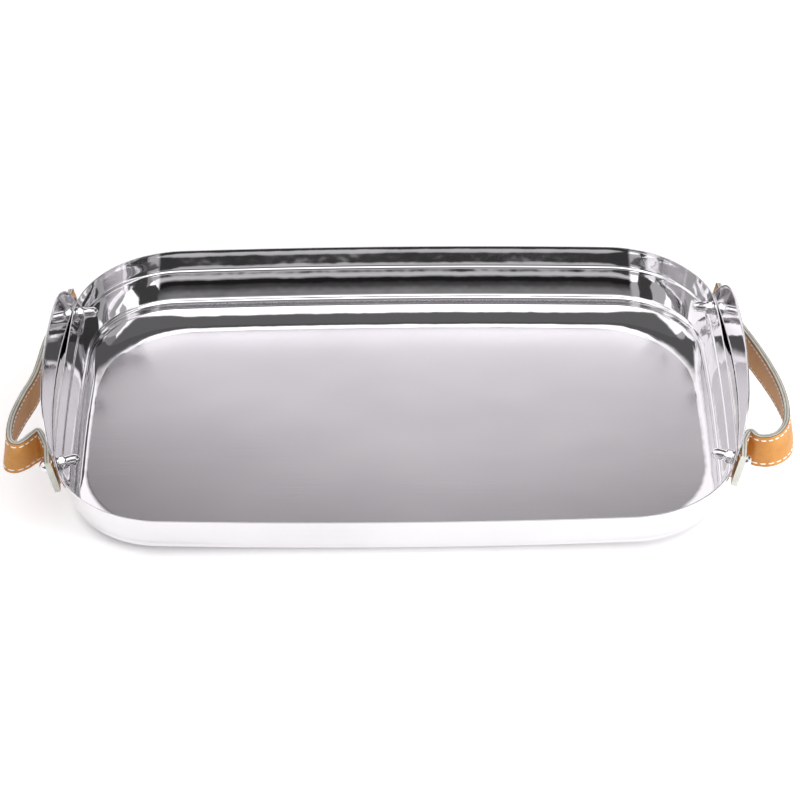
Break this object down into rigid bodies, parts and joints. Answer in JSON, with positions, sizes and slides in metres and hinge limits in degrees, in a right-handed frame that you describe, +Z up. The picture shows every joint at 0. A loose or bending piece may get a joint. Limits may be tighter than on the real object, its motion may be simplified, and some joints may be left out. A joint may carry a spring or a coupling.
{
  "type": "serving tray",
  "caption": "Polished steel serving tray with rounded corners, stepped wall, satin floor, raised end plates and bolted leather strap handles.",
  "frame": {"origin": "middle of the flat base, on the surface the tray rests on", "axes": "+X along the length towards the right handle, +Y towards the back long side, +Z up"},
  "size_m": [0.5525, 0.325, 0.078],
  "materials": {
    "polished_steel": "mirror polished walls, satin brushed floor",
    "plate_steel": "mirror polished",
    "fastener_chrome": "polished",
    "leather": "vegetable tanned, raw edges, white saddle stitching"
  },
  "bodies": {
    "root": {"tray_body": "polished_steel", "left_end_plate": "plate_steel", "left_tabs_outer": "leather", "left_tabs_lining": "leather", "left_screws": "fastener_chrome", "left_washers": "fastener_chrome", "left_acorn_nuts": "fastener_chrome", "right_end_plate": "plate_steel", "right_tabs_outer": "leather", "right_tabs_lining": "leather", "right_screws": "fastener_chrome", "right_washers": "fastener_chrome", "right_acorn_nuts": "fastener_chrome"},
    "left_handle": {"left_strap_outer": "leather", "left_strap_lining": "leather"},
    "right_handle": {"right_strap_outer": "leather", "right_strap_lining": "leather"}
  },
  "joints": [
    {"name": "left_handle_flex", "type": "hinge", "parent": "root", "child": "left_handle", "pos_m": [-0.2425, 0, 0.0405], "axis": [0, 1, 0], "range_deg": [-20, 20], "stiffness_Nm_per_rad": 0.6},
    {"name": "right_handle_flex", "type": "hinge", "parent": "root", "child": "right_handle", "pos_m": [0.2425, 0, 0.0405], "axis": [0, -1, 0], "range_deg": [-20, 20], "stiffness_Nm_per_rad": 0.6}
  ]
}
